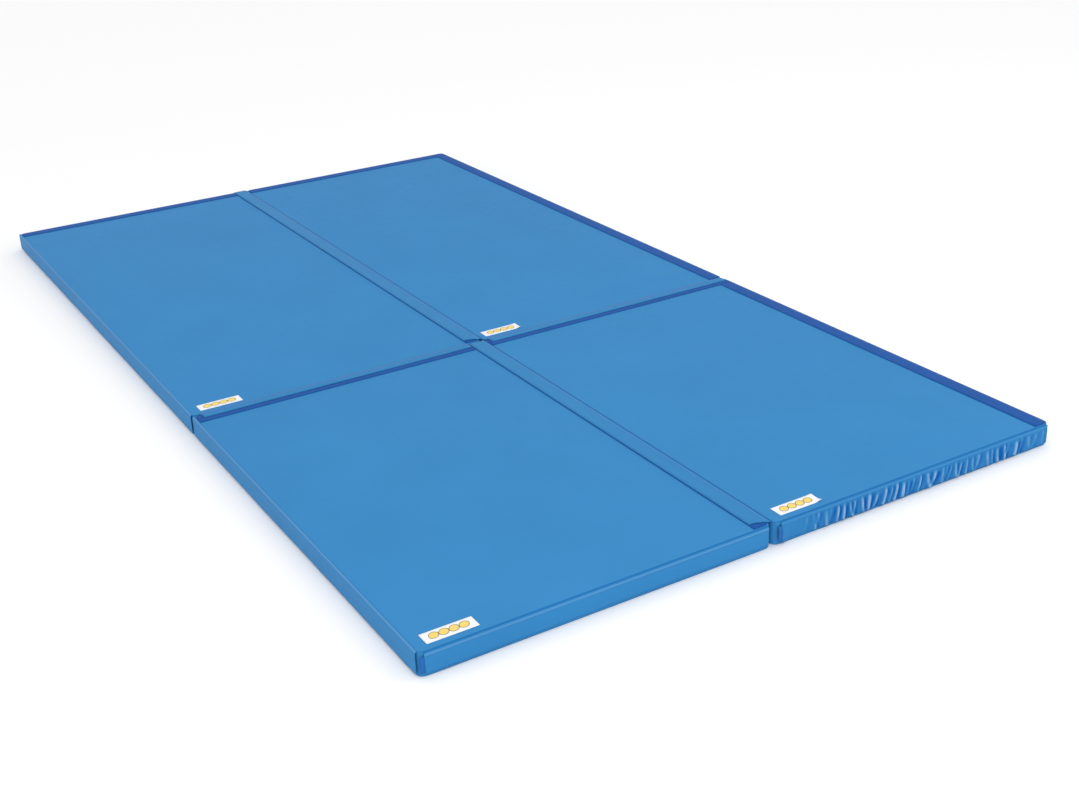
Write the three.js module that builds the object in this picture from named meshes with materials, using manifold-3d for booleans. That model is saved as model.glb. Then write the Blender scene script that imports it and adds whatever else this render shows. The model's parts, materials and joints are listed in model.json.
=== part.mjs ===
// Folding gym mat set: four padded mats laid two by two, joined by hook-and-loop flaps.
//
// Units are millimetres, +Z is up, +X runs to the right and +Y to the far side.  The origin is
// the middle of the set's footprint, on the floor.
//
// Each mat is a fabric cover (a tray with the open side down) around a foam core, closed below by
// a base sheet.  Loop tape is sewn on top along its right and far edges.  A flap with hook tape on
// its underside is sewn along its left and near edges.  A flap hangs down the wall of its own mat
// when it is free.  When mats are joined it lies over the gap on the loop tape of the next mat,
// and the line over the gap is where the set folds.

import * as THREE from 'three';
import { mergeVertices } from 'three/addons/utils/BufferGeometryUtils.js';
import Module from 'manifold-3d';

const wasm = await Module();
wasm.setup();

// ---------------------------------------------------------------- driving dimensions

const MAT_WIDTH = 1000;            // X size of every mat
const BACK_LENGTH = 2200;          // Y size of the two back mats
const FRONT_LENGTH = 1500;         // Y size of the two front mats
const MAT_THICKNESS = 66;          // floor to top panel
const MAT_GAP = 6;                 // space between neighbouring mats
const CORNER_RADIUS = 20;          // upright corners of a mat, seen from above
const CORNER_STEPS = 6;            // straight facets in one rounded corner

const SKIN = 1.5;                  // cover and base fabric, with their seams
const CLEARANCE = 0.3;             // space between pieces that touch

const TAPE_WIDTH = 50;             // loop tape
const TAPE_THICKNESS = 1.5;
const TAPE_INSET = 4;              // from the edge of the mat to the tape
const TAPE_SETBACK = 25;           // a right tape starts here on a mat whose near flap is joined

const FLAP_FABRIC = 1.0;
const HOOK_THICKNESS = 1.2;
const HOOK_MARGIN = 4;             // flap fabric left bare around the hook tape
const SIDE_FLAP_WIDTH = 58;        // left flap, seam to free edge
const NEAR_FLAP_WIDTH = 50;        // near flap, seam to free edge
const SIDE_FLAP_DROP = 2;          // from the top of the mat to the left flap's seam
const NEAR_FLAP_DROP = 8;          // the near flap is sewn this far down the near wall
const NEAR_FLAP_REACH = 30;        // how far a joined near flap reaches onto the next mat
const SIDE_FLAP_NEAR_INSET = 8;    // from the near edge to the left flap's end
const SIDE_FLAP_FAR_INSET = 4;
const SIDE_FLAP_SLANT = 18;        // a joined left flap is this much shorter at its free edge
const NEAR_FLAP_LEFT_INSET = 22;   // a near flap starts where the rounded corner ends
const NEAR_FLAP_RIGHT_INSET = 12;
const HOOK_OVERRUN = 12;           // a hanging near hook tape runs this far past its flap's left end
const ROOT_INSET = 3.7;            // how far a joined flap is sewn onto its own mat
const ROOT_OVERHANG = 1.5;         // how much of that sewn part stands out over the gap

const HINGE_RELIEF = 0.5;          // a joined flap stops this far short of the middle of the gap

const LABEL_WIDTH = 136;
const LABEL_DEPTH = 43;
const LABEL_THICKNESS = 0.4;
const LABEL_FROM_LEFT = 34;
const LABEL_FROM_NEAR = 21;

// ---------------------------------------------------------------- places worked out from them

const FLAP_STACK = CLEARANCE + HOOK_THICKNESS + CLEARANCE + FLAP_FABRIC;   // flap off its wall
const TOTAL_X = FLAP_STACK + 2 * MAT_WIDTH + MAT_GAP;
const TOTAL_Y = FLAP_STACK + FRONT_LENGTH + MAT_GAP + BACK_LENGTH;
const LEFT_X = FLAP_STACK - TOTAL_X / 2;                  // left wall of the left column
const RIGHT_X = LEFT_X + MAT_WIDTH + MAT_GAP;             // left wall of the right column
const FRONT_Y = FLAP_STACK - TOTAL_Y / 2;                 // near wall of the front row
const BACK_Y = FRONT_Y + FRONT_LENGTH + MAT_GAP;          // near wall of the back row
const TAPE_BOTTOM = MAT_THICKNESS + CLEARANCE;
const TAPE_TOP = TAPE_BOTTOM + TAPE_THICKNESS;
const HOOK_BOTTOM = TAPE_TOP + CLEARANCE;                 // a joined flap's layers, upwards
const FABRIC_BOTTOM = HOOK_BOTTOM + HOOK_THICKNESS + CLEARANCE;

const MATS = [
  { name: 'back_left', x: LEFT_X, y: BACK_Y, length: BACK_LENGTH, left: 'hanging', near: 'joined' },
  { name: 'back_right', x: RIGHT_X, y: BACK_Y, length: BACK_LENGTH, left: 'joined', near: 'joined' },
  { name: 'front_left', x: LEFT_X, y: FRONT_Y, length: FRONT_LENGTH, left: 'hanging', near: 'hanging' },
  { name: 'front_right', x: RIGHT_X, y: FRONT_Y, length: FRONT_LENGTH, left: 'joined', near: 'hanging' },
];

// ---------------------------------------------------------------- materials

function material(color, roughness) {
  return new THREE.MeshStandardMaterial({ color, roughness, metalness: 0 });
}

const MATERIALS = {
  cover: () => material(0x3f8fc8, 0.55),
  flap: () => material(0x3b8ac5, 0.5),
  loop: () => material(0x1e5aa8, 0.95),
  hook: () => material(0x24539b, 0.9),
  foam: () => material(0xe9e2c8, 0.95),
  base: () => material(0x2a4f80, 0.85),
  label: () => material(0xf2f1ee, 0.6),
};

// ---------------------------------------------------------------- shapes

// A rectangle seen from above with its own radius at each corner, in the order near-left,
// near-right, far-right, far-left.
function roundedRectangle(width, depth, radii) {
  const [nearLeft, nearRight, farRight, farLeft] = radii;
  const corners = [
    { x: nearLeft, y: nearLeft, r: nearLeft, start: Math.PI },
    { x: width - nearRight, y: nearRight, r: nearRight, start: 1.5 * Math.PI },
    { x: width - farRight, y: depth - farRight, r: farRight, start: 0 },
    { x: farLeft, y: depth - farLeft, r: farLeft, start: 0.5 * Math.PI },
  ];
  const points = [];
  for (const corner of corners) {
    const steps = corner.r > 0 ? CORNER_STEPS : 0;
    for (let i = 0; i <= steps; i += 1) {
      const angle = corner.start + (steps ? (i / steps) * Math.PI / 2 : 0);
      points.push(new THREE.Vector2(
        corner.x + corner.r * Math.cos(angle),
        corner.y + corner.r * Math.sin(angle),
      ));
    }
  }
  return new THREE.Shape(points);
}

function extrude(shape, height) {
  return new THREE.ExtrudeGeometry(shape, { depth: height, bevelEnabled: false });
}

function slab(width, depth, height, radii = [0, 0, 0, 0]) {
  return extrude(roundedRectangle(width, depth, radii), height);
}

// A strip whose near end runs aslant: at its left side it starts later by the slant.
function slantedStrip(width, run, slant, height) {
  const outline = [[0, slant], [width, 0], [width, run], [0, run]];
  return extrude(new THREE.Shape(outline.map(([x, y]) => new THREE.Vector2(x, y))), height);
}

function toSolid(geometry) {
  const bare = geometry.clone();
  bare.deleteAttribute('normal');
  bare.deleteAttribute('uv');
  const merged = mergeVertices(bare);
  return new wasm.Manifold(new wasm.Mesh({
    numProp: 3,
    vertProperties: new Float32Array(merged.attributes.position.array),
    triVerts: new Uint32Array(merged.index.array),
  }));
}

function fromSolid(solid) {
  const { vertProperties, triVerts } = solid.getMesh();
  const geometry = new THREE.BufferGeometry();
  geometry.setAttribute('position', new THREE.BufferAttribute(new Float32Array(vertProperties), 3));
  geometry.setIndex(new THREE.BufferAttribute(new Uint32Array(triVerts), 1));
  geometry.computeVertexNormals();
  return geometry;
}

// ---------------------------------------------------------------- pieces of one mat
// Every piece is placed in the mat's own corner frame: origin at its near-left corner on the floor.

function addPiece(group, name, geometry, kind, x, y, z) {
  const mesh = new THREE.Mesh(geometry, MATERIALS[kind]());
  mesh.name = name;
  mesh.position.set(x, y, z);
  group.add(mesh);
}

// Open-bottomed fabric tray: the top panel and the four walls.
function coverGeometry(length) {
  const round = Array(4).fill(CORNER_RADIUS);
  const pocketRound = Array(4).fill(CORNER_RADIUS - SKIN);
  const pocket = slab(MAT_WIDTH - 2 * SKIN, length - 2 * SKIN, MAT_THICKNESS, pocketRound);
  pocket.translate(SKIN, SKIN, -SKIN);
  return fromSolid(toSolid(slab(MAT_WIDTH, length, MAT_THICKNESS, round)).subtract(toSolid(pocket)));
}

// A block that fills the cover's pocket between two heights, with clearance all round.
function addFilling(group, name, kind, length, bottom, top) {
  const inset = SKIN + CLEARANCE;
  const radii = Array(4).fill(CORNER_RADIUS - inset);
  const block = slab(MAT_WIDTH - 2 * inset, length - 2 * inset, top - bottom, radii);
  addPiece(group, name, block, kind, inset, inset, bottom);
}

function addLoopTapes(group, mat) {
  const corner = CORNER_RADIUS - TAPE_INSET;
  const fullWidth = MAT_WIDTH - 2 * TAPE_INSET;
  const farTapeY = mat.length - TAPE_INSET - TAPE_WIDTH;
  const rightTapeX = MAT_WIDTH - TAPE_INSET - TAPE_WIDTH;
  const rightTapeY = mat.near === 'joined' ? TAPE_SETBACK : TAPE_INSET;
  const nearCorner = mat.near === 'joined' ? 0 : corner;
  const rightRun = farTapeY - CLEARANCE - rightTapeY;
  const rightTape = slab(TAPE_WIDTH, rightRun, TAPE_THICKNESS, [0, nearCorner, 0, 0]);
  const farTape = slab(fullWidth, TAPE_WIDTH, TAPE_THICKNESS, [0, 0, corner, corner]);
  addPiece(group, `${mat.name}_right_loop_tape`, rightTape, 'loop', rightTapeX, rightTapeY, TAPE_BOTTOM);
  addPiece(group, `${mat.name}_far_loop_tape`, farTape, 'loop', TAPE_INSET, farTapeY, TAPE_BOTTOM);
}

function addLabel(group, mat) {
  const label = slab(LABEL_WIDTH, LABEL_DEPTH, LABEL_THICKNESS);
  addPiece(group, `${mat.name}_label`, label, 'label', LABEL_FROM_LEFT, LABEL_FROM_NEAR, TAPE_BOTTOM);
}

// The left flap, hanging down the left wall: hook tape against the wall, fabric outside it.
function addHangingLeftFlap(group, mat) {
  const run = mat.length - SIDE_FLAP_NEAR_INSET - SIDE_FLAP_FAR_INSET;
  const bottom = MAT_THICKNESS - SIDE_FLAP_DROP - SIDE_FLAP_WIDTH;
  const hookX = -CLEARANCE - HOOK_THICKNESS;
  const hook = slab(HOOK_THICKNESS, run - 2 * HOOK_MARGIN, SIDE_FLAP_WIDTH - 2 * HOOK_MARGIN);
  const fabric = slab(FLAP_FABRIC, run, SIDE_FLAP_WIDTH);
  addPiece(group, `${mat.name}_left_flap`, fabric, 'flap', -FLAP_STACK, SIDE_FLAP_NEAR_INSET, bottom);
  addPiece(group, `${mat.name}_left_hook_tape`, hook, 'hook',
    hookX, SIDE_FLAP_NEAR_INSET + HOOK_MARGIN, bottom + HOOK_MARGIN);
}

// The near flap, hanging down the near wall.
function addHangingNearFlap(group, mat) {
  const run = MAT_WIDTH - NEAR_FLAP_LEFT_INSET - NEAR_FLAP_RIGHT_INSET;
  const bottom = MAT_THICKNESS - NEAR_FLAP_DROP - NEAR_FLAP_WIDTH;
  const hookY = -CLEARANCE - HOOK_THICKNESS;
  const hookRun = run + HOOK_OVERRUN - HOOK_MARGIN;
  const hook = slab(hookRun, HOOK_THICKNESS, NEAR_FLAP_WIDTH - 2 * HOOK_MARGIN);
  const fabric = slab(run, FLAP_FABRIC, NEAR_FLAP_WIDTH);
  addPiece(group, `${mat.name}_near_flap`, fabric, 'flap', NEAR_FLAP_LEFT_INSET, -FLAP_STACK, bottom);
  addPiece(group, `${mat.name}_near_hook_tape`, hook, 'hook',
    NEAR_FLAP_LEFT_INSET - HOOK_OVERRUN, hookY, bottom + HOOK_MARGIN);
}

// The left flap laid over the gap onto the right loop tape of the mat on its left.
function addJoinedLeftFlap(group, mat) {
  const run = mat.length - SIDE_FLAP_NEAR_INSET - SIDE_FLAP_FAR_INSET;
  const foldX = -MAT_GAP / 2;
  const freeX = -SIDE_FLAP_WIDTH;
  const hookRight = -MAT_GAP - TAPE_INSET;
  const hookWidth = hookRight - freeX - HOOK_MARGIN;
  const hook = slantedStrip(hookWidth, run - 2 * HOOK_MARGIN, SIDE_FLAP_SLANT, HOOK_THICKNESS);
  const fabric = slantedStrip(foldX - HINGE_RELIEF - freeX, run, SIDE_FLAP_SLANT, FLAP_FABRIC);
  const root = slab(ROOT_OVERHANG + ROOT_INSET, run, FLAP_FABRIC);
  addPiece(group, `${mat.name}_left_flap`, fabric, 'flap', freeX, SIDE_FLAP_NEAR_INSET, FABRIC_BOTTOM);
  addPiece(group, `${mat.name}_left_hook_tape`, hook, 'hook',
    freeX + HOOK_MARGIN, SIDE_FLAP_NEAR_INSET + HOOK_MARGIN, HOOK_BOTTOM);
  addPiece(group, `${mat.name}_left_flap_root`, root, 'flap',
    -ROOT_OVERHANG, SIDE_FLAP_NEAR_INSET, TAPE_BOTTOM);
}

// The near flap laid over the gap onto the far loop tape of the mat in front.  In the left column
// it stops short of the left flap that the right-hand mat lays over the same corner.
function addJoinedNearFlap(group, mat, besideFlap) {
  const rightInset = besideFlap ? SIDE_FLAP_WIDTH - MAT_GAP + HOOK_MARGIN : NEAR_FLAP_RIGHT_INSET;
  const run = MAT_WIDTH - NEAR_FLAP_LEFT_INSET - rightInset;
  const foldY = -MAT_GAP / 2;
  const freeY = -MAT_GAP - NEAR_FLAP_REACH;
  const hookFar = -MAT_GAP - TAPE_INSET;
  const hook = slab(run - 2 * HOOK_MARGIN, hookFar - freeY - HOOK_MARGIN, HOOK_THICKNESS);
  const fabric = slab(run, foldY - HINGE_RELIEF - freeY, FLAP_FABRIC);
  const root = slab(run, ROOT_OVERHANG + ROOT_INSET, FLAP_FABRIC);
  addPiece(group, `${mat.name}_near_flap`, fabric, 'flap', NEAR_FLAP_LEFT_INSET, freeY, FABRIC_BOTTOM);
  addPiece(group, `${mat.name}_near_hook_tape`, hook, 'hook',
    NEAR_FLAP_LEFT_INSET + HOOK_MARGIN, freeY + HOOK_MARGIN, HOOK_BOTTOM);
  addPiece(group, `${mat.name}_near_flap_root`, root, 'flap',
    NEAR_FLAP_LEFT_INSET, -ROOT_OVERHANG, TAPE_BOTTOM);
}

function buildMat(mat) {
  const group = new THREE.Group();
  group.position.set(mat.x, mat.y, 0);
  const foamBottom = SKIN + CLEARANCE;
  const foamTop = MAT_THICKNESS - SKIN - CLEARANCE;
  addPiece(group, `${mat.name}_cover`, coverGeometry(mat.length), 'cover', 0, 0, 0);
  addFilling(group, `${mat.name}_foam_core`, 'foam', mat.length, foamBottom, foamTop);
  addFilling(group, `${mat.name}_base_sheet`, 'base', mat.length, 0, SKIN);
  addLoopTapes(group, mat);
  addLabel(group, mat);
  if (mat.left === 'hanging') addHangingLeftFlap(group, mat);
  else addJoinedLeftFlap(group, mat);
  if (mat.near === 'hanging') addHangingNearFlap(group, mat);
  else addJoinedNearFlap(group, mat, mat.x === LEFT_X);
  return group;
}

// ---------------------------------------------------------------- the set

const gymMat = new THREE.Group();
for (const mat of MATS) gymMat.add(buildMat(mat));

export default gymMat;
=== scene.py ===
"""Four padded gym mats joined by hook-and-loop flaps: the visual model, in metres."""

import json
import math
import random

import bmesh
import bpy
from mathutils import Matrix, Vector, noise
from mathutils.bvhtree import BVHTree

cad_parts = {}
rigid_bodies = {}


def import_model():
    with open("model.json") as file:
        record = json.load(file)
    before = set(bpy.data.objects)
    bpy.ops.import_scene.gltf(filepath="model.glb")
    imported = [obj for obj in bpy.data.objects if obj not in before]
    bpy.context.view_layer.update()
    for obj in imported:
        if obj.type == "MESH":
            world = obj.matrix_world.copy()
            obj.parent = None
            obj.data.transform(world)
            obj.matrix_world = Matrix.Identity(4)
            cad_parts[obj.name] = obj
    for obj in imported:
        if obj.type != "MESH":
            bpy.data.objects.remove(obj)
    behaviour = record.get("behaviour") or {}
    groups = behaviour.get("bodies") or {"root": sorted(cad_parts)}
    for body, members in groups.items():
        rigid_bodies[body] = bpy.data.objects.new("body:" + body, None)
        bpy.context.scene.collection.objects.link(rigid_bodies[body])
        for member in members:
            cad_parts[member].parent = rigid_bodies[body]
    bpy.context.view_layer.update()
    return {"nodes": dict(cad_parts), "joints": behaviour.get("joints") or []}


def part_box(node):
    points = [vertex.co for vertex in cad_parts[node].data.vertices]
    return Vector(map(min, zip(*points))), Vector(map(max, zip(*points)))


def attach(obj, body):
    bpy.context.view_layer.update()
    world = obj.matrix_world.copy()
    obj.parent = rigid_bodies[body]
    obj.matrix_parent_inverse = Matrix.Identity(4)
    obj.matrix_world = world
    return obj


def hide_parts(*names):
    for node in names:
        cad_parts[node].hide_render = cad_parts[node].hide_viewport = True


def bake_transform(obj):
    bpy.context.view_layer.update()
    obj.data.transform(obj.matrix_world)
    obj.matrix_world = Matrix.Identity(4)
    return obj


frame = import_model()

# ---------------------------------------------------------------- driving dimensions

CORNER_RADIUS = 0.020       # upright corners of a mat
ON_WALL = 0.0005            # a point this near a mat's outline belongs to its wall
ON_EDGE = 0.0001            # and this near, to its edge
TOP_CROWN = 0.0016          # how far the filled top stands above the CAD top
FLAT_BORDER = 0.055         # the top stays flat this far in, so that folded mats close on their flaps
CROWN_RUN = 0.18            # the crown rises over this much beyond the flat border
TOP_SLACK = 0.0006
WALL_BULGE = 0.0008         # how far a filled wall stands out
WALL_SLACK = 0.0009
SETTLE_FRAMES = 15          # the cover's cloth simulation
SETTLE_BORDER_CAP = 0.0003  # it moves no point further than this at the border
SETTLE_INSIDE_CAP = 0.0011  # and this much more inside
SETTLE_CAP_RUN = 0.10
COVER_CLOTH = 0.0010        # thickness of each cloth
FLAP_CLOTH = 0.0010
TAPE_CLOTH = 0.0012
HOOK_CLOTH = 0.0009
LABEL_CLOTH = 0.0004
STRIP_CLOTH = 0.0006        # a hinge strip
COVER_CELL = 0.025          # grid cell of a cover before it is subdivided
FOAM_CELL = 0.1
FOAM_AIR = 0.001            # from the sides of the CAD core to those of the foam block
TAPE_CELL = 0.010
FLAP_CELL = 0.006
FLAP_RUN_CELL = 0.012       # along a joined flap
STRIP_CELL = 0.02           # along a hinge strip
STITCH_ROW_CELL = 0.05      # along a row of stitches, between the points it follows
LABEL_CELL = 0.004
LAYER_GAP = 0.0003          # air between layers that lie on each other
TAPE_HEIGHT = LAYER_GAP + TAPE_CLOTH / 2                        # middle of a loop tape, over the top panel
HOOK_HEIGHT = LAYER_GAP + TAPE_CLOTH + LAYER_GAP + HOOK_CLOTH / 2
FLAP_HEIGHT = HOOK_HEIGHT + HOOK_CLOTH / 2 + LAYER_GAP + FLAP_CLOTH / 2
STITCH_PITCH = 0.006
STITCH_LENGTH = 0.0042
STITCH_RADIUS = 0.0005
SEAM_MARGIN = 0.003         # from the edge of a tape to its row of stitches

# The mesh attribute of painted light: painted shade below 0 in grooves and seams, painted highlight above
# 0 on edges and ridges.
EDGE_PAINTED_HIGHLIGHT = 0.2
SEWN_EDGE_PAINTED_SHADE = -0.55
SIDE_SEAM_PAINTED_SHADE = (-0.9, -0.5)       # painted shade on the first two rows of a joined flap
NEAR_SEAM_PAINTED_SHADE = (-0.8, -0.4)
SIDE_STRIP_PAINTED_SHADE = -0.9
NEAR_STRIP_PAINTED_SHADE = -0.5
HANGING_SEAM_PAINTED_SHADE = -0.8
SIDE_RIDGE_PAINTED_HIGHLIGHT = 0.05
NEAR_RIDGE_PAINTED_HIGHLIGHT = 0.5
GROOVE_PAINTED_SHADE = -0.8
HANGING_RIDGE_PAINTED_HIGHLIGHT = 0.3
TURNED_EDGE_PAINTED_HIGHLIGHT = 0.35             # painted highlight where a hanging left flap turns down over its mat's edge
CREASE_PAINTED_LIGHT = 0.95                  # on the creased flap, from painted shade in its valleys to a painted highlight on its ridges
CREASED_PAINTED_SHADE = 0.15            # painted shade all over the creased flap
# the brightest painted highlight on a crease ridge
MOST_CREASE_PAINTED_HIGHLIGHT = 0.8

MATS = ("back_left", "back_right", "front_left", "front_right")
CREASED = ("front_right", "near")      # the flap that hangs in creases
LABEL_SHIFT = {"back_left": 0.0, "back_right": -0.010, "front_left": 0.0, "front_right": 0.006}
LABEL_LIFT = 0.0003
LABEL_CURL = 0.0045         # how far the right end of a right-hand mat's label lifts
LABEL_CURL_RUN = 0.16       # the share of the label that lifts
NEAR_FLAP_SHIFT = {"front_left": -0.008, "back_right": -0.008}     # a left end cut a little longer
TAPE_RUN_ON = 0.017         # a right tape under a joined near flap shows this much more of its end


def cad_box(mat, part):
    low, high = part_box(f"{mat}_{part}")
    return Vector(low), Vector(high)


def is_joined(mat, side):
    return f"{mat}_{side}_flap_root" in frame["nodes"]


# ---------------------------------------------------------------- camera, floor and light

CAMERA_AZIMUTH = math.radians(30.11)
CAMERA_ELEVATION = math.radians(24.88)
CAMERA_ROLL = math.radians(-2.51)
CAMERA_DISTANCE = 4.370
CAMERA_LENS = 48.55
TARGET_FROM_CORNER = Vector((0.895, -0.547, 0.0))   # from the back left mat's near-left top corner


def add_camera():
    low, high = cad_box("back_left", "cover")
    target = Vector((low.x, low.y, high.z)) + TARGET_FROM_CORNER
    forward = Vector((
        math.sin(CAMERA_AZIMUTH) * math.cos(CAMERA_ELEVATION),
        math.cos(CAMERA_AZIMUTH) * math.cos(CAMERA_ELEVATION),
        -math.sin(CAMERA_ELEVATION),
    ))
    level_right = forward.cross(Vector((0, 0, 1))).normalized()
    level_up = level_right.cross(forward)
    right = level_right * math.cos(CAMERA_ROLL) + level_up * math.sin(CAMERA_ROLL)
    up = -level_right * math.sin(CAMERA_ROLL) + level_up * math.cos(CAMERA_ROLL)
    data = bpy.data.cameras.new("camera")
    data.sensor_fit = "HORIZONTAL"
    data.sensor_width = 36
    data.lens = CAMERA_LENS
    data.clip_end = 60
    camera = bpy.data.objects.new("camera", data)
    bpy.context.collection.objects.link(camera)
    turn = Matrix((right, up, -forward)).transposed()
    camera.matrix_world = Matrix.Translation(target - forward * CAMERA_DISTANCE) @ turn.to_4x4()
    bpy.context.scene.camera = camera


def add_floor():
    bpy.ops.mesh.primitive_plane_add(size=60, location=(0, 0, -0.0005))
    floor = bpy.context.object
    floor.name = "floor"
    floor.data.materials.append(plain_material("floor_paint", (0.99, 0.99, 0.99), 0.9))


def add_area_light(name, place, size, power):
    data = bpy.data.lights.new(name, "AREA")
    data.shape = "SQUARE"
    data.size = size
    data.energy = power
    lamp = bpy.data.objects.new(name, data)
    bpy.context.collection.objects.link(lamp)
    lamp.location = place
    lamp.rotation_euler = Vector(place).to_track_quat("Z", "Y").to_euler()


def add_light():
    world = bpy.data.worlds.new("studio")
    world.use_nodes = True
    background = world.node_tree.nodes["Background"]
    background.inputs["Color"].default_value = (1.0, 1.0, 1.0, 1.0)
    background.inputs["Strength"].default_value = 0.96
    bpy.context.scene.world = world
    add_area_light("key", (-1.5, -5.5, 4.5), size=3.0, power=80)
    add_area_light("side", (4.5, -3.5, 2.0), size=1.2, power=22)


# ---------------------------------------------------------------- materials

def srgb(red, green, blue):
    """Linear colour from 0-255 display values."""
    def linear(value):
        value /= 255
        return value / 12.92 if value <= 0.04045 else ((value + 0.055) / 1.055) ** 2.4
    return linear(red), linear(green), linear(blue)


def plain_material(name, color, roughness):
    material = bpy.data.materials.new(name)
    material.use_nodes = True
    shader = material.node_tree.nodes["Principled BSDF"]
    shader.inputs["Base Color"].default_value = (*color, 1)
    shader.inputs["Roughness"].default_value = roughness
    return material


class Graph:
    """Small helper that adds and links shader nodes."""

    def __init__(self, material):
        self.tree = material.node_tree
        self.shader = self.tree.nodes["Principled BSDF"]
        self.coordinates = self.tree.nodes.new("ShaderNodeTexCoord").outputs["Object"]

    def node(self, kind, inputs, **settings):
        made = self.tree.nodes.new(kind)
        for key, value in settings.items():
            setattr(made, key, value)
        for key, value in inputs.items():
            if isinstance(value, bpy.types.NodeSocket):
                self.tree.links.new(value, made.inputs[key])
            else:
                made.inputs[key].default_value = value
        return made

    def math(self, operation, first, second=0.0):
        return self.node("ShaderNodeMath", {0: first, 1: second}, operation=operation).outputs[0]

    def noise(self, scale, detail=2.0, roughness=0.5):
        inputs = {
            "Vector": self.coordinates,
            "Scale": scale,
            "Detail": detail,
            "Roughness": roughness,
        }
        return self.node("ShaderNodeTexNoise", inputs).outputs["Fac"]

    def ribs(self, axis, pitch):
        inputs = {"Vector": self.coordinates, "Scale": 2 * math.pi / (20 * pitch)}
        return self.node("ShaderNodeTexWave", inputs, bands_direction=axis).outputs["Fac"]

    def weave(self, pitch):
        along_x, along_y, along_z = (self.ribs(axis, pitch) for axis in "XYZ")
        crossing = self.math("MULTIPLY", along_x, along_y)
        either = self.math("ADD", along_x, along_y)
        upright = self.math("MULTIPLY", along_z, either)
        return self.math("ADD", crossing, upright)

    def spread(self, value, low, high):
        return self.node("ShaderNodeMapRange", {"Value": value, "To Min": low, "To Max": high}).outputs[0]

    def shaded(self, color, value, low, high):
        """The colour, made darker or lighter by a value from 0 to 1."""
        factor = self.spread(value, low, high)
        mixed = self.node("ShaderNodeVectorMath", {0: color, "Scale": factor}, operation="SCALE")
        return mixed.outputs[0]

    def clamped(self, value, low, high):
        """The share of the way from low to high, from 0 to 1."""
        inputs = {"Value": value, "From Min": low, "From Max": high}
        return self.node("ShaderNodeMapRange", inputs).outputs[0]

    def blend(self, first, second, share):
        """The first colour changing to the second as share goes from 0 to 1."""
        mix = self.node("ShaderNodeMix", {0: share}, data_type="RGBA")
        for key, color in ((6, first), (7, second)):
            if isinstance(color, bpy.types.NodeSocket):
                self.tree.links.new(color, mix.inputs[key])
            else:
                mix.inputs[key].default_value = (*color, 1)
        return mix.outputs[2]

    def bump(self, height, strength, distance, below=None):
        inputs = {"Height": height, "Strength": strength, "Distance": distance}
        if below is not None:
            inputs["Normal"] = below
        return self.node("ShaderNodeBump", inputs).outputs["Normal"]

    def finish(self, color=None, roughness=None, normal=None):
        for key, value in (("Base Color", color), ("Roughness", roughness), ("Normal", normal)):
            if value is not None:
                self.tree.links.new(value, self.shader.inputs[key])


def coated_fabric(name, color, gloss):
    """PVC-coated polyester: fine weave under a satin coat, with faint stains and soft creases.

    The mesh attribute of painted light, from -1 to 1, mixes in a painted highlight on ridges and edges,
    and painted shade in creases, grooves and seams.
    """
    # colours of the painted highlight and of the painted shade
    painted_highlight_color, painted_shade_color = srgb(150, 180, 218), srgb(2, 88, 164)
    material = plain_material(name, color, gloss)
    graph = Graph(material)
    patches = graph.noise(3.5, 4)
    specks = graph.noise(900, 2)
    mixed = graph.math("ADD", graph.math("MULTIPLY", patches, 0.7), graph.math("MULTIPLY", specks, 0.3))
    soft = graph.bump(graph.noise(16, 3), 0.5, 0.0004)
    woven = graph.bump(graph.weave(0.0026), 0.35, 0.00015, soft)
    painted_light = graph.node("ShaderNodeAttribute", {}, attribute_name="painted_light").outputs["Fac"]
    # painted highlight where the attribute is above 0, painted shade where it is below 0
    highlighted_color = graph.blend(graph.shaded(color, mixed, 0.90, 1.10), painted_highlight_color, graph.clamped(painted_light, 0.0, 1.0))
    lit_and_shaded_color = graph.blend(highlighted_color, painted_shade_color, graph.clamped(painted_light, 0.0, -1.0))
    graph.finish(
        lit_and_shaded_color,
        graph.spread(graph.noise(30, 3), gloss - 0.06, gloss + 0.06),
        woven,
    )
    graph.shader.inputs["Specular IOR Level"].default_value = 0.07
    return material


def napped_tape(name, color, pile):
    """Woven tape with a fuzzy loop or hook face."""
    material = plain_material(name, color, 0.92)
    graph = Graph(material)
    tufts = graph.noise(pile, 3, 0.7)
    worn = graph.noise(9, 3)
    mixed = graph.math("ADD", graph.math("MULTIPLY", tufts, 0.6), graph.math("MULTIPLY", worn, 0.4))
    graph.finish(graph.shaded(color, mixed, 0.72, 1.25), None, graph.bump(tufts, 0.8, 0.0006))
    graph.shader.inputs["Sheen Weight"].default_value = 0.06
    graph.shader.inputs["Sheen Roughness"].default_value = 0.5
    graph.shader.inputs["Specular IOR Level"].default_value = 0.1
    return material


def foam_material():
    """Open-cell foam block."""
    color = srgb(232, 224, 196)
    material = plain_material("foam", color, 0.95)
    graph = Graph(material)
    inputs = {"Vector": graph.coordinates, "Scale": 600}
    cells = graph.node("ShaderNodeTexVoronoi", inputs).outputs["Distance"]
    graph.finish(graph.shaded(color, cells, 0.7, 1.1), None, graph.bump(cells, 0.9, 0.0008))
    return material


def base_material():
    """Anti-slip underside: dark coated cloth with a grid of small raised dots."""
    color = srgb(38, 78, 128)
    material = plain_material("base_cloth", color, 0.8)
    graph = Graph(material)
    dots = graph.math("MULTIPLY", graph.ribs("X", 0.006), graph.ribs("Y", 0.006))
    raised = graph.math("GREATER_THAN", dots, 0.55)
    worn = graph.noise(12, 4)
    graph.finish(
        graph.shaded(color, worn, 0.8, 1.2),
        graph.spread(worn, 0.7, 0.9),
        graph.bump(raised, 0.6, 0.0005),
    )
    return material


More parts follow.
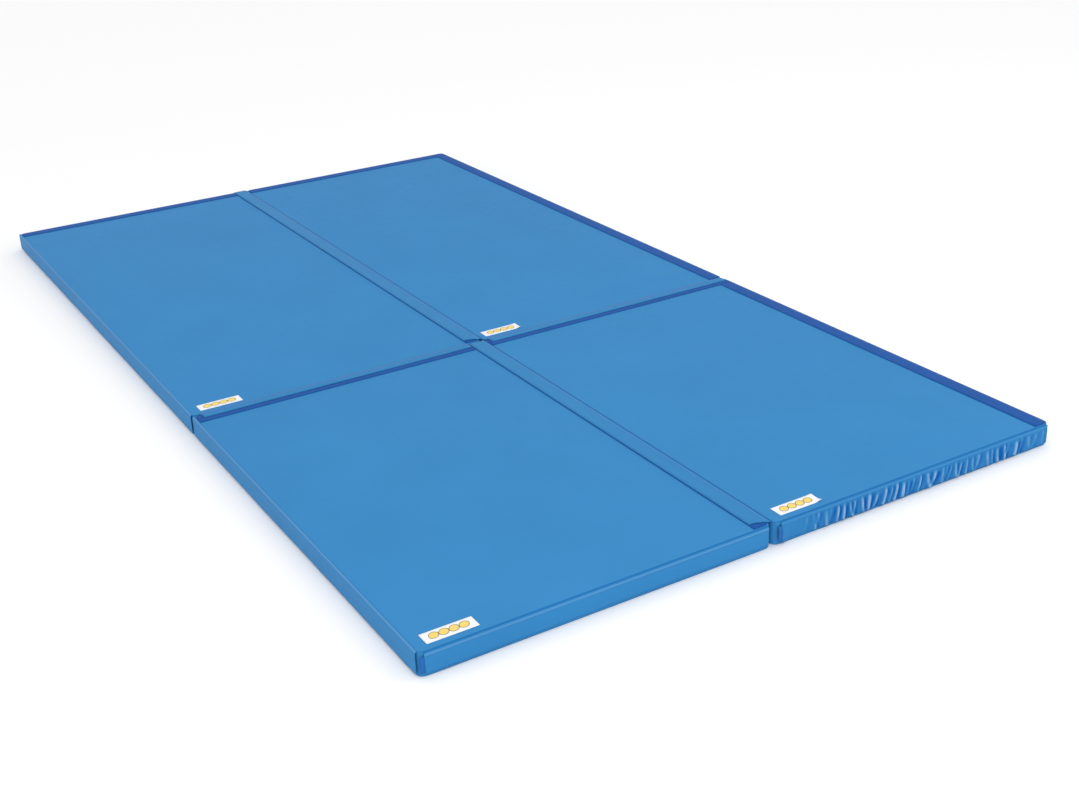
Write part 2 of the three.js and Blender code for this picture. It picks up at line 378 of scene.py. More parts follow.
def label_material():
    """White satin patch with a plain row of yellow ovals, outlined in grey."""
    material = plain_material("label_print", srgb(240, 240, 240), 0.45)
    graph = Graph(material)
    uv = graph.tree.nodes.new("ShaderNodeTexCoord").outputs["UV"]
    parts = graph.node("ShaderNodeSeparateXYZ", {"Vector": uv})
    across, up = parts.outputs["X"], parts.outputs["Y"]
    slant, first_oval, ovals_across = 0.05, 0.09, 5.2
    narrow, flat, oval_height = 1.9, 3.3, 0.53
    row_middle, row_half = 0.475, 0.385
    fill_reach = 0.70
    slanted = graph.math("SUBTRACT", across, graph.math("MULTIPLY", up, slant))
    from_first = graph.math("SUBTRACT", slanted, first_oval)
    repeat = graph.math("FRACT", graph.math("MULTIPLY", from_first, ovals_across))
    sideways = graph.math("MULTIPLY", graph.math("SUBTRACT", repeat, 0.5), narrow)
    upward = graph.math("MULTIPLY", graph.math("SUBTRACT", up, oval_height), flat)
    reach = graph.math("ADD", graph.math("POWER", sideways, 2.0), graph.math("POWER", upward, 2.0))
    from_middle = graph.math("ABSOLUTE", graph.math("SUBTRACT", slanted, row_middle))
    in_row = graph.math("LESS_THAN", from_middle, row_half)
    outline = graph.math("MULTIPLY", graph.math("LESS_THAN", reach, 1.0), in_row)
    fill = graph.math("MULTIPLY", graph.math("LESS_THAN", reach, fill_reach), in_row)
    inked = graph.blend(srgb(236, 238, 243), srgb(120, 112, 80), outline)
    printed = graph.blend(inked, srgb(240, 208, 100), fill)
    graph.finish(printed, None, graph.bump(graph.weave(0.0012), 0.3, 0.0001))
    return material


# ---------------------------------------------------------------- mesh helpers

def new_piece(name, points, faces, material):
    mesh = bpy.data.meshes.new(name)
    mesh.from_pydata([tuple(p) for p in points], [], faces)
    mesh.update()
    mesh.polygons.foreach_set("use_smooth", [True] * len(mesh.polygons))
    piece = bpy.data.objects.new(name, mesh)
    bpy.context.collection.objects.link(piece)
    mesh.materials.append(material)
    return piece


def add_subdivision(piece, levels):
    modifier = piece.modifiers.new("subdivision", "SUBSURF")
    modifier.levels = levels
    modifier.render_levels = levels


def add_thickness(piece, thickness, offset):
    modifier = piece.modifiers.new("thickness", "SOLIDIFY")
    modifier.thickness = thickness
    modifier.offset = offset
    modifier.use_even_offset = True


def evaluated_tree(piece):
    """Ray-cast tree of a piece with its modifiers on."""
    return BVHTree.FromObject(piece, bpy.context.evaluated_depsgraph_get())


def even_steps(start, end, step):
    count = max(1, round((end - start) / step))
    return [start + (end - start) * i / count for i in range(count + 1)]


def grid_lines(length, edge_loops, step):
    """Grid lines from 0 to length: closer together at both ends, even between."""
    middle = even_steps(edge_loops[-1], length - edge_loops[-1], step)
    return edge_loops[:-1] + middle + [length - d for d in reversed(edge_loops[:-1])]


def box_surface(xs, ys, zs):
    """The six sides of a box as quads on the given grid lines."""
    numbers = {}
    points = []

    def vertex(i, j, k):
        key = (i, j, k)
        if key not in numbers:
            numbers[key] = len(points)
            points.append(Vector((xs[i], ys[j], zs[k])))
        return numbers[key]

    last = (len(xs) - 1, len(ys) - 1, len(zs) - 1)
    faces = []
    for axis in range(3):
        first_axis, second_axis = (axis + 1) % 3, (axis + 2) % 3
        for a in range(last[first_axis]):
            for b in range(last[second_axis]):
                for level in (0, last[axis]):
                    loop = []
                    for da, db in ((0, 0), (1, 0), (1, 1), (0, 1)):
                        key = [0, 0, 0]
                        key[axis] = level
                        key[first_axis] = a + da
                        key[second_axis] = b + db
                        loop.append(vertex(*key))
                    faces.append(loop if level else loop[::-1])
    return points, faces


def round_corners(points, low, high, radius):
    """Moves points in the four corner squares, seen from above, so that the outline becomes an arc."""
    for p in points:
        centre_x = min(max(p.x, low.x + radius), high.x - radius)
        centre_y = min(max(p.y, low.y + radius), high.y - radius)
        a, b = (p.x - centre_x) / radius, (p.y - centre_y) / radius
        p.x = centre_x + radius * a * math.sqrt(max(0.0, 1 - b * b / 2))
        p.y = centre_y + radius * b * math.sqrt(max(0.0, 1 - a * a / 2))


def sheet_points(along, across, place):
    """Quads over two lists of steps; place(s, t) gives each point."""
    points = [place(s, t) for s in along for t in across]
    width = len(across)
    faces = []
    for i in range(len(along) - 1):
        for j in range(width - 1):
            corner = i * width + j
            faces.append([corner, corner + 1, corner + width + 1, corner + width])
    return points, faces


def smooth_step(value):
    value = min(1.0, max(0.0, value))
    return value * value * (3 - 2 * value)


# ---------------------------------------------------------------- cover, foam and base

def shape_cover(points, low, high, seed):
    """Fills the cover: a crowned top, walls that bulge between their seams, and faint slack."""
    for p in points:
        inward = min(p.x - low.x, high.x - p.x, p.y - low.y, high.y - p.y)
        level = (p.z - low.z) / (high.z - low.z)
        slack = noise.noise(Vector((p.x * 5, p.y * 5, seed)))
        if inward > ON_WALL and level > 0.99:
            p.z += (TOP_CROWN + TOP_SLACK * slack) * smooth_step((inward - FLAT_BORDER) / CROWN_RUN)
        elif inward <= ON_WALL and 0 < level < 1:
            ripple = noise.noise(Vector((p.x * 14, p.y * 14, seed + p.z * 10)))
            push = (WALL_BULGE + WALL_SLACK * ripple) * math.sin(math.pi * level)
            outward = Vector((
                -1 if p.x - low.x <= ON_WALL else (1 if high.x - p.x <= ON_WALL else 0),
                -1 if p.y - low.y <= ON_WALL else (1 if high.y - p.y <= ON_WALL else 0),
                0,
            ))
            p += outward.normalized() * push


def settle_as_cloth(piece, low, high):
    """Lets the cover's cloth take up the pressure of the foam, moving no point further than a cap."""
    mesh = piece.data
    start = [v.co.copy() for v in mesh.vertices]
    pins = piece.vertex_groups.new(name="pins")
    pins.add([v.index for v in mesh.vertices if v.co.z < low.z + 0.002], 1.0, "REPLACE")
    cloth = piece.modifiers.new("cloth", "CLOTH")
    cloth.settings.quality = 4
    cloth.settings.vertex_group_mass = "pins"
    cloth.settings.use_pressure = True
    cloth.settings.uniform_pressure_force = 4
    cloth.settings.tension_stiffness = 25
    cloth.settings.compression_stiffness = 25
    cloth.settings.bending_stiffness = 2
    cloth.settings.effector_weights.gravity = 0
    cloth.collision_settings.use_collision = False
    scene = bpy.context.scene
    for step in range(1, SETTLE_FRAMES + 1):
        scene.frame_set(step)
    graph = bpy.context.evaluated_depsgraph_get()
    settled = [v.co.copy() for v in piece.evaluated_get(graph).data.vertices]
    piece.modifiers.remove(cloth)
    piece.vertex_groups.remove(pins)
    scene.frame_set(1)
    for vertex, old, new in zip(mesh.vertices, start, settled):
        move = new - old
        inward = min(old.x - low.x, high.x - old.x, old.y - low.y, high.y - old.y)
        inside = smooth_step((inward - FLAT_BORDER) / SETTLE_CAP_RUN)
        cap = SETTLE_BORDER_CAP + SETTLE_INSIDE_CAP * inside
        if move.length > cap:
            move *= cap / move.length
        vertex.co = old + move


def edge_painted_light(p, low, high, mat):
    """Painted light along the top edge: a painted highlight where the cover folds down, painted shade in
    the groove of a sewn flap.
    """
    if p.z < high.z - ON_EDGE:
        return 0.0
    if p.y - low.y < ON_EDGE or (p.x - low.x < ON_EDGE and is_joined(mat, "left")):
        return SEWN_EDGE_PAINTED_SHADE
    return EDGE_PAINTED_HIGHLIGHT if min(p.x - low.x, high.x - p.x, high.y - p.y) < ON_EDGE else 0.0


def make_cover(mat, cloth_material):
    low, high = cad_box(mat, "cover")
    loops = [0, 0.0035, 0.010, 0.020, 0.035, 0.060]
    xs = [low.x + d for d in grid_lines(high.x - low.x, loops, COVER_CELL)]
    ys = [low.y + d for d in grid_lines(high.y - low.y, loops, COVER_CELL)]
    height = high.z - low.z
    zs = [low.z + height * share for share in (0, 0.05, 0.18, 0.34, 0.5, 0.66, 0.82, 0.95, 1)]
    points, faces = box_surface(xs, ys, zs)
    lattice = [p.copy() for p in points]
    shape_cover(points, low, high, MATS.index(mat) * 3.7)
    round_corners(points, low, high, CORNER_RADIUS)
    cover = new_piece(f"{mat}_cover_cloth", points, faces, cloth_material)
    # painted highlight along the top edges, painted shade in the groove where a flap is sewn
    set_painted_light(cover, [edge_painted_light(p, low, high, mat) for p in lattice])
    settle_as_cloth(cover, low, high)
    open_bottom(cover, low.z)
    add_subdivision(cover, 1)
    add_thickness(cover, COVER_CLOTH, -1)
    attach(cover, mat)
    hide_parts(f"{mat}_cover")
    return cover


def open_bottom(cover, floor_z):
    """Takes the bottom faces off, leaving the rim where the base sheet is sewn in."""
    work = bmesh.new()
    work.from_mesh(cover.data)
    gone = [f for f in work.faces if all(v.co.z < floor_z + 0.001 for v in f.verts)]
    bmesh.ops.delete(work, geom=gone, context="FACES")
    work.to_mesh(cover.data)
    work.free()


def make_foam(mat, foam):
    low, high = cad_box(mat, "foam_core")
    loops = [0, 0.002, 0.012, 0.05]
    xs = [low.x + FOAM_AIR + d for d in grid_lines(high.x - low.x - 2 * FOAM_AIR, loops, FOAM_CELL)]
    ys = [low.y + FOAM_AIR + d for d in grid_lines(high.y - low.y - 2 * FOAM_AIR, loops, FOAM_CELL)]
    zs = [low.z + 0.0002, low.z + 0.003, high.z - 0.004, high.z - 0.001]
    points, faces = box_surface(xs, ys, zs)
    round_corners(points, low, high, CORNER_RADIUS)
    core = new_piece(f"{mat}_foam_block", points, faces, foam)
    add_subdivision(core, 1)
    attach(core, mat)
    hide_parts(f"{mat}_foam_core")


# ---------------------------------------------------------------- surfaces that tapes lie on

def clamp_to_arc(x, y, low, high, radius):
    """Pulls a point inside the rounded outline."""
    centre_x = min(max(x, low.x + radius), high.x - radius)
    centre_y = min(max(y, low.y + radius), high.y - radius)
    offset = Vector((x - centre_x, y - centre_y))
    if offset.length > radius:
        offset *= radius / offset.length
    return centre_x + offset.x, centre_y + offset.y


class TopOf:
    """Height of a mat's filled top under any point, or at the nearest place just inside its edge."""

    INSET = 0.004

    def __init__(self, mat, cover):
        low, high = cad_box(mat, "cover")
        self.low = low + Vector((self.INSET, self.INSET, 0))
        self.high = high - Vector((self.INSET, self.INSET, 0))
        self.tree = evaluated_tree(cover)

    def height(self, x, y):
        x, y = clamp_to_arc(x, y, self.low, self.high, CORNER_RADIUS - self.INSET)
        return self.tree.ray_cast(Vector((x, y, 0.3)), Vector((0, 0, -1)))[0].z


def tape_box(mat, part):
    low, high = cad_box(mat, part)
    if part.startswith("right") and is_joined(mat, "near"):
        low.y -= TAPE_RUN_ON
    return low, high


def make_top_tape(mat, part, top, material):
    """Loop tape sewn on the top panel."""
    low, high = tape_box(mat, part)
    cover_low, cover_high = cad_box(mat, "cover")
    edge = low.x - cover_low.x if part.startswith("far") else cover_high.x - high.x
    inner_low = cover_low + Vector((edge, edge, 0))
    inner_high = cover_high - Vector((edge, edge, 0))
    xs = even_steps(low.x, high.x, TAPE_CELL)
    ys = even_steps(low.y, high.y, TAPE_CELL)

    def place(x, y):
        px, py = clamp_to_arc(x, y, inner_low, inner_high, CORNER_RADIUS - edge)
        return Vector((px, py, top.height(px, py) + TAPE_HEIGHT))

    points, faces = sheet_points(xs, ys, place)
    faces = [loop[::-1] for loop in faces]
    tape = new_piece(f"{mat}_{part}_woven", points, faces, material)
    add_thickness(tape, TAPE_CLOTH, 0)
    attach(tape, mat)
    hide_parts(f"{mat}_{part}")


def make_label(mat, top, cloths, curl):
    low, high = cad_box(mat, "label")
    low.x += LABEL_SHIFT[mat]
    high.x += LABEL_SHIFT[mat]
    xs = even_steps(low.x, high.x, LABEL_CELL)
    ys = even_steps(low.y, high.y, LABEL_CELL)

    def place(x, y):
        across = (x - low.x) / (high.x - low.x)
        from_middle = 2 * (y - low.y) / (high.y - low.y) - 1
        at_end = smooth_step((across - (1 - LABEL_CURL_RUN)) / LABEL_CURL_RUN)
        lift = curl * at_end * from_middle ** 2 * (0.65 - 0.35 * from_middle)
        return Vector((x, y, top.height(x, y) + LAYER_GAP + LABEL_LIFT + lift))

    points, faces = sheet_points(xs, ys, place)
    faces = [loop[::-1] for loop in faces]
    label = new_piece(f"{mat}_label_patch", points, faces, cloths["label"])
    layer = label.data.uv_layers.new(name="patch")
    for loop in label.data.loops:
        point = points[loop.vertex_index]
        across = (point.x - low.x) / (high.x - low.x)
        up = (point.y - low.y) / (high.y - low.y)
        layer.data[loop.index].uv = (across, up)
    add_thickness(label, LABEL_CLOTH, 0)
    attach(label, mat)
    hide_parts(f"{mat}_label")


# ---------------------------------------------------------------- stitches

def stitch_bar(start, end, side, up):
    """A short rounded bar of thread: ten points and twelve faces."""
    points = [start]
    for share in (0.22, 0.78):
        middle = start.lerp(end, share)
        points += [middle + side, middle + up, middle - side, middle - up]
    points.append(end)
    faces = []
    for k in range(4):
        after = (k + 1) % 4
        faces.append([0, 1 + after, 1 + k])
        faces.append([1 + k, 1 + after, 5 + after, 5 + k])
        faces.append([9, 5 + k, 5 + after])
    return points, faces


def make_stitches(name, rows, thread, body):
    """Rows of stitches. Each row is a list of points on the cloth and the direction that faces out."""
    points, faces = [], []
    for path, out in rows:
        for start, end in stitch_ends(path):
            side = (end - start).cross(out).normalized() * STITCH_RADIUS
            bar_points, bar_faces = stitch_bar(start, end, side, out * STITCH_RADIUS)
            faces += [[index + len(points) for index in face] for face in bar_faces]
            points += bar_points
    piece = new_piece(name, points, faces, thread)
    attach(piece, body)


def stitch_ends(path):
    """Start and end of each stitch along a row, at the stitch pitch."""
    ends = []
    travelled = 0.0
    for first, second in zip(path, path[1:]):
        length = (second - first).length
        while travelled < length:
            start = first.lerp(second, travelled / length)
            end = first.lerp(second, min(1.0, (travelled + STITCH_LENGTH) / length))
            if (end - start).length > STITCH_LENGTH / 2:
                ends.append((start, end))
            travelled += STITCH_PITCH
        travelled -= length
    return ends


# ---------------------------------------------------------------- flaps

SEAM_INSIDE = 0.0005     # a flap comes out of the seam this far outside its mat's edge
RIDGE_AT = 0.008         # a flap's first stitched ridge, from its seam
RIDGE_WIDTH = 0.004      # from its middle to its edge
HANGING_RIDGE_WIDTH = 0.0025
GROOVE_AT = 0.012        # the groove beyond that ridge
GROOVE_WIDTH = 0.003     # from its middle to its edge
CREASE_CELL = 0.003
SIDE_FLAP_SLANT = 0.018  # a joined flap's near or left end is cut aslant by this much
NEAR_FLAP_SLANT = 0.004
FLAP_SEAM_RISE = 0.0008  # a joined flap's cloth at its seam, over its own mat's top
FLAP_WAVE = 0.0004
FLAP_DROOP = 0.0008      # at its free edge, over the last DROOP_RUN
DROOP_RUN = 0.008
HANG_OUT = 0.0029        # a hanging flap's cloth from its mat's edge
HANG_BEND = (0.002, -0.005)         # heights over its CAD flap's top, made into two points that are not used
HANG_WAVE = 0.0008
CREASE_DEPTH = 0.0030
CREASED_CURL = 0.006     # how far the creased flap's left end stands off
FOLD_SEED = 7

# Cross-sections as (out, rise): out from the mat's edge, rise over its top.
OVER_THE_TOP = ((-0.0035, 0.0009), (-0.0008, 0.0009), (0.0012, 0.0001),
                (0.0024, -0.0018), (0.0028, -0.0045), (0.0029, -0.0085))
BELOW_THE_TOP = ((0.0006, -0.0024), (0.0020, -0.0032), (0.0027, -0.0052))
HINGE_ROOT = ((-0.0035, 0.0006), (-0.0005, 0.0004), (0.0012, -0.0012), (0.0030, -0.0022))
HINGE_ACROSS = ((0.0048, -0.0012), (0.0065, 0.0006), (0.0085, 0.0010))
HINGE_TAIL = ((0.0031, -0.0052),)
HINGE_BEND = (-0.0005, 0.0065)      # outs from the edge of a strip that links two mats, made into two points that are not used
STRIP_INSET = 0.004                 # a strip is this much shorter than its flap at both ends


class Side:
    """Directions along one edge of a mat: run goes along the edge, out goes away from the mat."""

    def __init__(self, mat, side):
        self.mat, self.side = mat, side
        self.left = side == "left"
        self.low, self.high = cad_box(mat, "cover")
        flap_low, flap_high = cad_box(mat, f"{side}_flap")
        self.shift = 0.0 if self.left else NEAR_FLAP_SHIFT.get(mat, 0.0)
        self.run = (flap_low.y, flap_high.y) if self.left else (flap_low.x + self.shift, flap_high.x)
        self.flap_low, self.flap_high = flap_low, flap_high
        self.edge = self.low.x if self.left else self.low.y
        self.body = f"{mat}_{side}_flap_body"

    def point(self, run, out, z):
        return Vector((self.edge - out, run, z)) if self.left else Vector((run, self.edge - out, z))

    def out_direction(self):
        return Vector((-1, 0, 0)) if self.left else Vector((0, -1, 0))

    def turned(self, faces):
        """Faces the quads of sheet_points(run, path) outward."""
        return faces if self.left else [loop[::-1] for loop in faces]


def set_painted_light(piece, values):
    attribute = piece.data.attributes.new("painted_light", "FLOAT", "POINT")
    attribute.data.foreach_set("value", values)


def finish_cloth(piece, thickness, node):
    add_thickness(piece, thickness, 0)
    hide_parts(node)


def ridge_painted_light(side, out):
    """Painted light across a joined flap: a painted highlight on its ridge, and painted shade in a near
    flap's groove beyond it.
    """
    ridge = max(0.0, 1 - abs(out - RIDGE_AT) / RIDGE_WIDTH)
    if side.left:
        return ridge * SIDE_RIDGE_PAINTED_HIGHLIGHT
    return ridge * NEAR_RIDGE_PAINTED_HIGHLIGHT + GROOVE_PAINTED_SHADE * max(0.0, 1 - abs(out - GROOVE_AT) / GROOVE_WIDTH)


def make_joined_flap(side, neighbour_top, cloths):
    """A flap laid over the gap onto the neighbour's loop tape, with its hook tape below it."""
    mat = side.mat
    gap = side.edge - (side.flap_high.x if side.left else side.flap_high.y)
    reach = side.edge - (side.flap_low.x if side.left else side.flap_low.y)
    rest = 2 * gap + 0.001          # where the flap first lies on the neighbour's tape
    slant = SIDE_FLAP_SLANT if side.left else NEAR_FLAP_SLANT
    run_start, run_end = side.run

    def along(run, out):
        """The flap's near end runs aslant towards its free edge."""
        start = run_start + slant * smooth_step(out / reach * 1.2)
        return start + (run_end - start) * (run - run_start) / (run_end - run_start)

    def place(run, out, lift):
        place_run = along(run, out)
        flat = side.point(place_run, max(out, rest), 0)
        ground = neighbour_top.height(flat.x, flat.y) + lift
        seam = side.high.z + FLAP_SEAM_RISE
        wave = FLAP_WAVE * noise.noise(Vector((flat.x * 12, flat.y * 12, 3.0)))
        droop = FLAP_DROOP * smooth_step((out - reach + DROOP_RUN) / DROOP_RUN)
        rise = smooth_step((out - SEAM_INSIDE) / (rest - SEAM_INSIDE))
        return side.point(place_run, out, seam + (ground + wave - droop - seam) * rise)

    steps = even_steps(run_start, run_end, FLAP_RUN_CELL)
    outs = even_steps(SEAM_INSIDE, rest, 0.0016)[:-1]
    if side.left:
        outs += even_steps(rest, reach, FLAP_CELL)
    else:
        outs += even_steps(rest, GROOVE_AT + GROOVE_WIDTH, 0.002)[:-1]
        outs += even_steps(GROOVE_AT + GROOVE_WIDTH, reach, FLAP_CELL)
    points, faces = sheet_points(steps, outs, lambda s, t: place(s, t, FLAP_HEIGHT))
    flap = new_piece(f"{mat}_{side.side}_flap_cloth", points, side.turned(faces), cloths["flap"])
    # painted shade in the seam rows, painted highlight on the ridge, painted shade in the groove
    seam = SIDE_SEAM_PAINTED_SHADE if side.left else NEAR_SEAM_PAINTED_SHADE
    across = [ridge_painted_light(side, out) for out in outs]
    set_painted_light(flap, (list(seam) + across[len(seam):]) * len(steps))
    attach(flap, side.body)
    finish_cloth(flap, FLAP_CLOTH, f"{mat}_{side.side}_flap")

    hook_low, hook_high = cad_box(mat, f"{side.side}_hook_tape")
    hook_run = (hook_low.y, hook_high.y) if side.left else (hook_low.x + side.shift, hook_high.x)
    hook_outs = even_steps(side.edge - (hook_high.x if side.left else hook_high.y),
                           side.edge - (hook_low.x if side.left else hook_low.y), FLAP_CELL)
    hook_steps = even_steps(*hook_run, FLAP_RUN_CELL)
    points, faces = sheet_points(hook_steps, hook_outs, lambda s, t: place(s, t, HOOK_HEIGHT))
    hook = new_piece(f"{mat}_{side.side}_hook_woven", points, side.turned(faces), cloths["hook"])
    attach(hook, side.body)
    finish_cloth(hook, HOOK_CLOTH, f"{mat}_{side.side}_hook_tape")

    top = FLAP_HEIGHT + FLAP_CLOTH / 2
    rows = []
    for out in (reach - SEAM_MARGIN - 0.002, hook_outs[0] + SEAM_MARGIN):
        inner = even_steps(run_start + slant + 0.004, run_end - 0.006, STITCH_ROW_CELL)
        rows.append(([place(run, out, top) for run in inner], Vector((0, 0, 1))))
    name = f"{mat}_{side.side}_flap_stitches"
    make_stitches(name, rows, cloths["flap_thread"], side.body)


def make_hinge_strip(side, neighbour, cloths):
    """The sewn root of a joined flap, in the gap below it.

    It reaches across only where a joint links the two mats.
    """
    mat = side.mat
    joined = any({j["parent"], j["child"]} == {mat, neighbour} for j in frame["joints"])
    path = HINGE_ROOT + (HINGE_ACROSS if joined else HINGE_TAIL)
    run_start, run_end = side.run

    def place(run, step):
        out, rise = path[step]
        return side.point(run, out, side.high.z + rise)

    steps = even_steps(run_start + STRIP_INSET, run_end - STRIP_INSET, STRIP_CELL)
    points, faces = sheet_points(steps, range(len(path)), place)
    strip = new_piece(f"{mat}_{side.side}_hinge_strip", points, side.turned(faces), cloths["flap"])
    # painted shade over the whole strip, in the gap under its flap
    set_painted_light(strip, [SIDE_STRIP_PAINTED_SHADE if side.left else NEAR_STRIP_PAINTED_SHADE] * len(points))
    if joined:
        start, end = (side.point(0, out, 0) for out in HINGE_BEND)
        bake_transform(strip)
    else:
        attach(strip, mat)
    length = sum(math.dist(first, second) for first, second in zip(path, path[1:]))
    finish_cloth(strip, STRIP_CLOTH, f"{mat}_{side.side}_flap_root")


def hanging_path(side):
    """Cross-section of a hanging flap, as (out, z) from its seam down to its free edge."""
    top = side.high.z
    path = [(out, top + rise) for out, rise in (OVER_THE_TOP if side.left else BELOW_THE_TOP)]
    if not side.left:
        ridge = top - RIDGE_AT
        path += [(0.0036, ridge), (0.0030, ridge - 0.0022), (0.0028, ridge - 0.005)]
    below = even_steps(side.flap_low.z, path[-1][1], FLAP_CELL)[:-1]
    return path + [(HANG_OUT, z) for z in reversed(below)]


class Folds:
    """Folds of a gathered hanging cloth, from a seed: narrow ridges, each with a valley on both sides."""

    def __init__(self, start, end, seed):
        chance = random.Random(seed)
        self.folds = []
        centre = start + 0.02
        while centre < end - 0.01:
            bow = chance.uniform(-0.014, 0.008)
            width = chance.uniform(0.0034, 0.0068)
            strength = chance.uniform(0.55, 1.15)
            top = chance.uniform(0.000, 0.016)
            self.folds.append((centre, bow, width, strength, top))
            centre += chance.uniform(0.014, 0.034)

    def height(self, run, drop):
        """From about -1 in a valley to 1 on a ridge; drop is measured down from where folds can start."""
        total = 0.0
        for centre, bow, width, strength, top in self.folds:
            across = (run - centre - bow * (drop / 0.045) ** 2) / width
            if abs(across) < 6:
                ridge = 1.3 * math.exp(-across * across)
                deep_side = 0.9 * math.exp(-((across - 2.2) / 1.5) ** 2)
                shallow_side = 0.3 * math.exp(-((across + 2.0) / 1.2) ** 2)
                started = smooth_step((drop - top + 0.012) / 0.016)
                total += strength * (ridge - (deep_side + shallow_side)) * started
        return total * (0.9 + 0.7 * noise.noise(Vector((run * 40, drop * 55, 2.0))))


def make_hanging_flap(side, cloths):
    """A flap hanging down the wall of its own mat, with its hook tape behind it."""
    mat = side.mat
    name = f"{mat}_{side.side}"
    creased = (mat, side.side) == CREASED
    depth = CREASE_DEPTH if creased else 0.0
    end_curl = CREASED_CURL if creased else 0.0
    seed = MATS.index(mat) * 5.3
    path = hanging_path(side)
    run_start, run_end = side.run
    seam_z = path[0][1]
    folds = Folds(run_start, run_end, FOLD_SEED)

    def relief(run, z):
        """How far the cloth stands off, and its crease height."""
        drop = seam_z - z
        hang = smooth_step((drop - 0.006) / 0.010)
        height = folds.height(run, drop - 0.006) if creased else 0.0
        slow = HANG_WAVE * (0.5 + noise.noise(Vector((run * 5, z * 4, seed))))
        gathered = smooth_step((run - run_start - 0.03) / 0.20)
        loose = gathered - 0.7 * smooth_step((run - run_end + 0.10) / 0.04)
        curl = end_curl * (1 - smooth_step((run - run_start) / 0.030))
        stand = hang * (slow + depth * loose * (0.8 + height) + curl)
        return stand, hang * loose * height

    def place(run, out, z):
        return side.point(run, out + max(0.0, relief(run, z)[0]), z)

    steps = even_steps(run_start, run_end, CREASE_CELL if creased else FLAP_CELL)
    count = len(path)
    points, faces = sheet_points(steps, range(count), lambda s, t: place(s, *path[t]))
    flap = new_piece(f"{name}_flap_cloth", points, side.turned(faces), cloths["flap"])
    # painted highlight on the turned edge and the stitched ridge, painted shade in the seam groove
    painted_light = []
    for run in steps:
        for out, z in path:
            if side.left:
                turned = max(0.0, 1 - abs(out - 0.0012) / 0.0016) * (z > seam_z - 0.004)
                seam = TURNED_EDGE_PAINTED_HIGHLIGHT * turned
            else:
                ridge = max(0.0, 1 - abs(side.high.z - RIDGE_AT - z) / HANGING_RIDGE_WIDTH)
                seam = HANGING_SEAM_PAINTED_SHADE * (z == seam_z) + HANGING_RIDGE_PAINTED_HIGHLIGHT * ridge
            # painted highlight on crease ridges, painted shade in the valleys and over the whole creased
            # flap
            crease = CREASE_PAINTED_LIGHT * relief(run, z)[1] - CREASED_PAINTED_SHADE * creased
            painted_light.append(seam + max(-1.0, min(MOST_CREASE_PAINTED_HIGHLIGHT, crease)))
    set_painted_light(flap, painted_light)
    add_subdivision(flap, 1)
    start, end = (side.point(0, 0, side.flap_high.z + rise) for rise in HANG_BEND)
    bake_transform(flap)
    length = sum(math.dist(path[i], path[i + 1]) for i in range(count - 1))
    finish_cloth(flap, FLAP_CLOTH, f"{name}_flap")

    hook_low, hook_high = cad_box(mat, f"{side.side}_hook_tape")
    hook_run = (hook_low.y, hook_high.y) if side.left else (hook_low.x + side.shift, hook_high.x)
    hook_steps = even_steps(*hook_run, FLAP_CELL)
    hook_down = even_steps(hook_low.z, hook_high.z, FLAP_CELL)
    behind = HANG_OUT - FLAP_CLOTH / 2 - LAYER_GAP - HOOK_CLOTH / 2
    points, faces = sheet_points(hook_steps, hook_down, lambda s, t: place(s, behind, t))
    faces = [loop[::-1] for loop in side.turned(faces)]
    hook = new_piece(f"{name}_hook_woven", points, faces, cloths["hook"])
    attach(hook, side.body)
    finish_cloth(hook, HOOK_CLOTH, f"{name}_hook_tape")

    face = HANG_OUT + FLAP_CLOTH / 2
    rows = []
    for z in (hook_high.z - 0.002, hook_low.z + 0.002):
        inner = even_steps(run_start + 0.005, run_end - 0.005, FLAP_CELL * 2)
        rows.append(([place(run, face, z) for run in inner], side.out_direction()))
    make_stitches(f"{name}_flap_stitches", rows, cloths["flap_thread"], side.body)


# ---------------------------------------------------------------- the set

def dress_cad_node(name, material):
    node = frame["nodes"][name]
    node.data.materials.clear()
    node.data.materials.append(material)


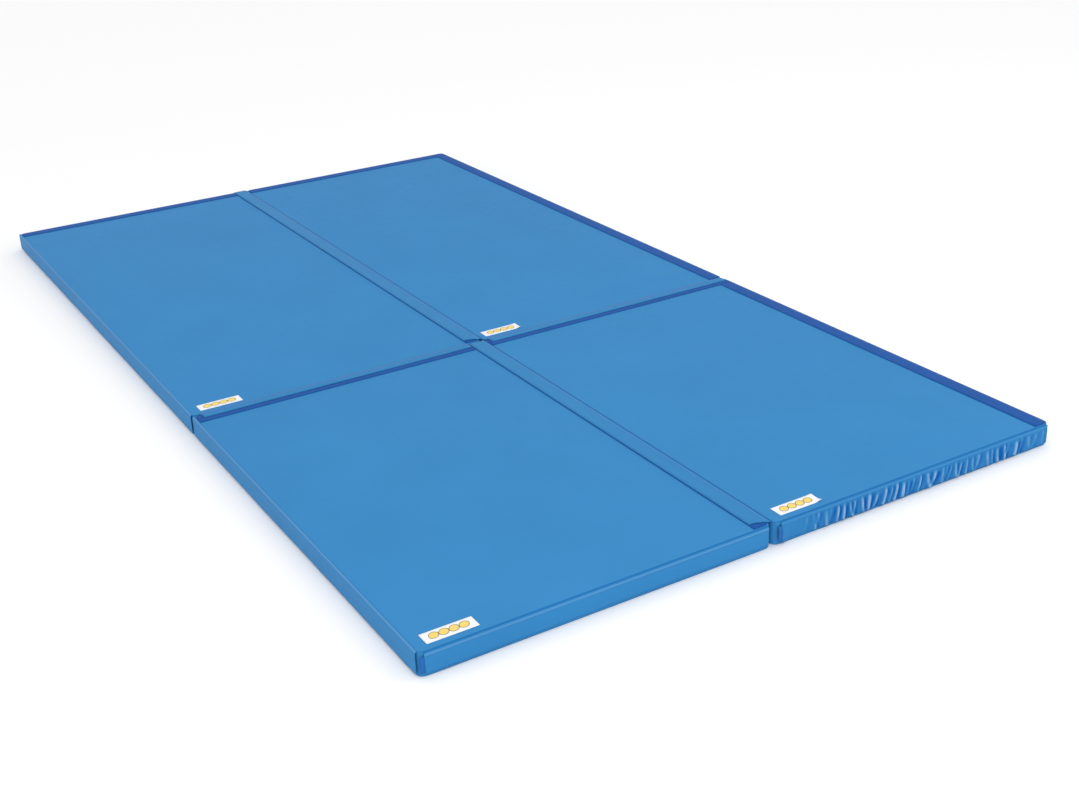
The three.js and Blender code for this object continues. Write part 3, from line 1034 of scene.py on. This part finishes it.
def tape_rows(mat, part, top):
    """Rows of stitches along both long edges of a loop tape."""
    low, high = tape_box(mat, part)
    rows = []
    if part.startswith("right"):
        for x in (low.x + SEAM_MARGIN, high.x - SEAM_MARGIN):
            rows.append([(x, y) for y in even_steps(low.y + 0.004, high.y - 0.004, STITCH_ROW_CELL)])
    else:
        for y in (low.y + SEAM_MARGIN, high.y - SEAM_MARGIN):
            rows.append([(x, y) for x in even_steps(low.x + 0.018, high.x - 0.018, STITCH_ROW_CELL)])
    lift = TAPE_HEIGHT + TAPE_CLOTH / 2
    return [([Vector((x, y, top.height(x, y) + lift)) for x, y in row], Vector((0, 0, 1))) for row in rows]


def make_cloths():
    return {
        "cover": coated_fabric("cover_cloth", srgb(54, 132, 190), 0.60),
        "flap": coated_fabric("flap_cloth", srgb(50, 128, 185), 0.50),
        "loop": napped_tape("loop_tape", srgb(24, 84, 160), 700),
        "hook": napped_tape("hook_tape", srgb(40, 104, 176), 260),
        "tape_thread": plain_material("tape_thread", srgb(44, 104, 176), 0.6),
        "flap_thread": plain_material("flap_thread", srgb(36, 116, 182), 0.6),
        "label": label_material(),
        "foam": foam_material(),
        "base": base_material(),
    }


def neighbour_of(mat, side):
    """The mat whose loop tape a joined flap lies on."""
    return mat.replace("right", "left") if side == "left" else mat.replace("back", "front")


def build():
    cloths = make_cloths()
    tops = {}
    for mat in MATS:
        cover = make_cover(mat, cloths["cover"])
        make_foam(mat, cloths["foam"])
        dress_cad_node(f"{mat}_base_sheet", cloths["base"])
        tops[mat] = TopOf(mat, cover)
    for mat in MATS:
        rows = []
        for part in ("right_loop_tape", "far_loop_tape"):
            make_top_tape(mat, part, tops[mat], cloths["loop"])
            rows += tape_rows(mat, part, tops[mat])
        make_stitches(f"{mat}_tape_stitches", rows, cloths["tape_thread"], mat)
        make_label(mat, tops[mat], cloths, LABEL_CURL if mat.endswith("right") else 0.0)
        for name in ("left", "near"):
            side = Side(mat, name)
            if is_joined(mat, name):
                neighbour = neighbour_of(mat, name)
                make_joined_flap(side, tops[neighbour], cloths)
                make_hinge_strip(side, neighbour, cloths)
            else:
                make_hanging_flap(side, cloths)


add_camera()
add_floor()
add_light()
build()
bpy.context.scene.view_settings.view_transform = "Standard"
bpy.context.view_layer.update()
